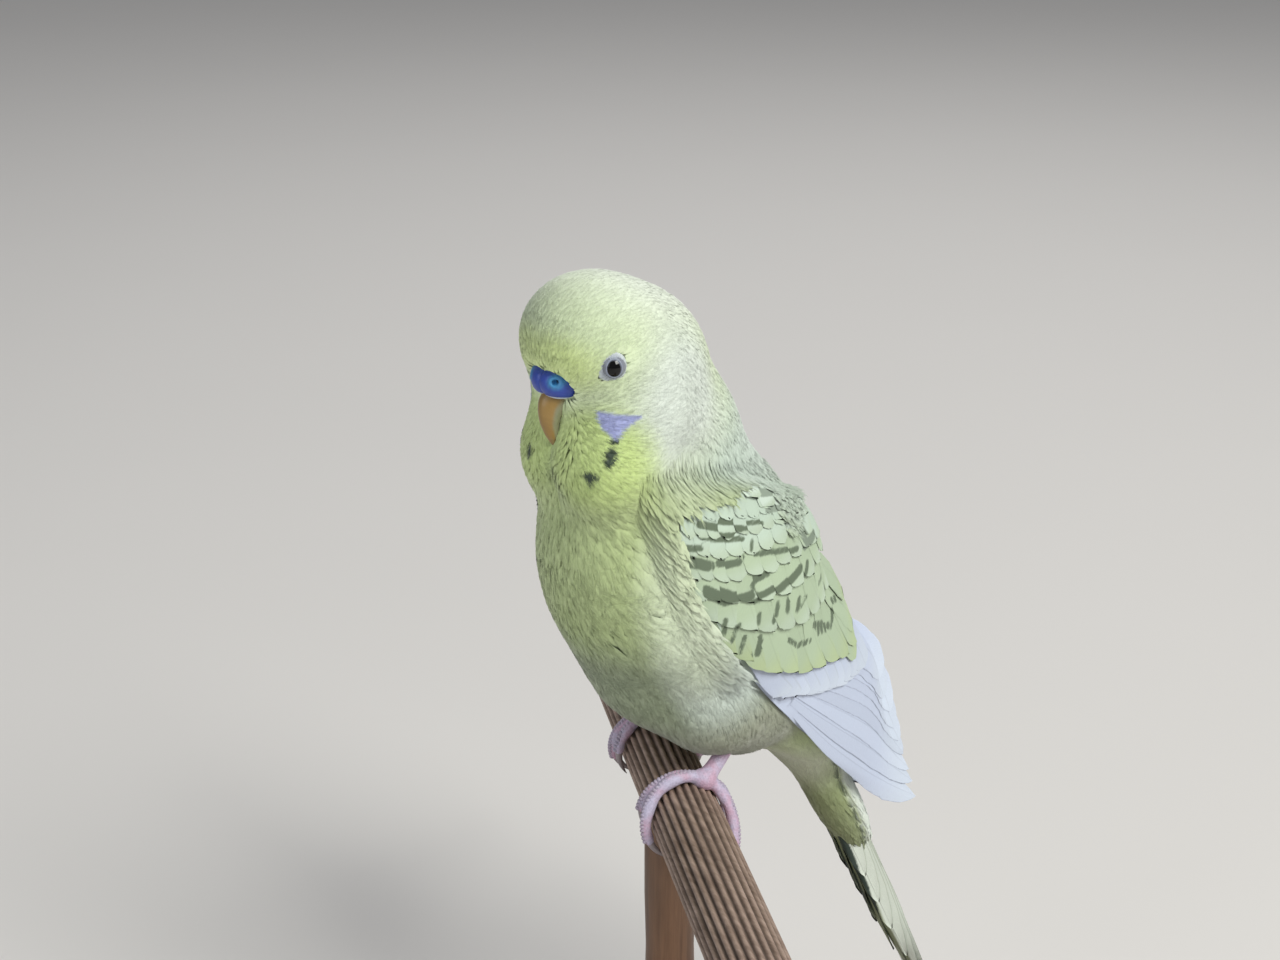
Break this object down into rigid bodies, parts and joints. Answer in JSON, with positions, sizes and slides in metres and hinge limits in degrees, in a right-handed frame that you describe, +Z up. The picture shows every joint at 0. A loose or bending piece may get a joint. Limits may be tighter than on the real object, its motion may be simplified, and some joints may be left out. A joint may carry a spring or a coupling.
{
  "type": "budgerigar",
  "caption": "Life-size budgerigar with folded wings and long tail, gripping a short length of fluted dowel on a plain round display stand.",
  "frame": {"origin": "centre of the underside of the round base, straight below the middle of the bird's stance on the dowel", "axes": "+Z up, the bird faces -Y, its own left side is +X"},
  "size_m": [0.144, 0.1227, 0.176],
  "materials": {
    "coat": "soft pale yellow-green small feathers, matte",
    "wing": "folded pale mint feathers barred in grey-green, white flight feathers, matte with a faint sheen",
    "tail": "long olive and mint-white tail feathers, faint sheen",
    "cere": "smooth cobalt-blue skin with a soft gloss",
    "beak": "ochre horn, satin",
    "eye": "wet black with a thin pale iris",
    "foot": "finely scaled pinkish lilac-grey skin",
    "claw": "grey-brown horn, satin",
    "perch": "brown stained fluted wood, worn",
    "stand": "plain dark wood, satin"
  },
  "bodies": {
    "root": {"head": "coat", "neck": "coat", "torso": "coat", "wing_left": "wing", "wing_right": "wing", "tail": "tail", "cere": "cere", "beak_upper": "beak", "beak_lower": "beak", "eye_left": "eye", "eye_right": "eye", "leg_left": "foot", "leg_right": "foot", "foot_left": "foot", "foot_right": "foot", "claw_left_1": "claw", "claw_left_2": "claw", "claw_left_3": "claw", "claw_left_4": "claw", "claw_right_1": "claw", "claw_right_2": "claw", "claw_right_3": "claw", "claw_right_4": "claw", "perch": "perch", "stand_base": "stand", "stand_collar": "stand", "stand_post": "stand"}
  },
  "joints": []
}
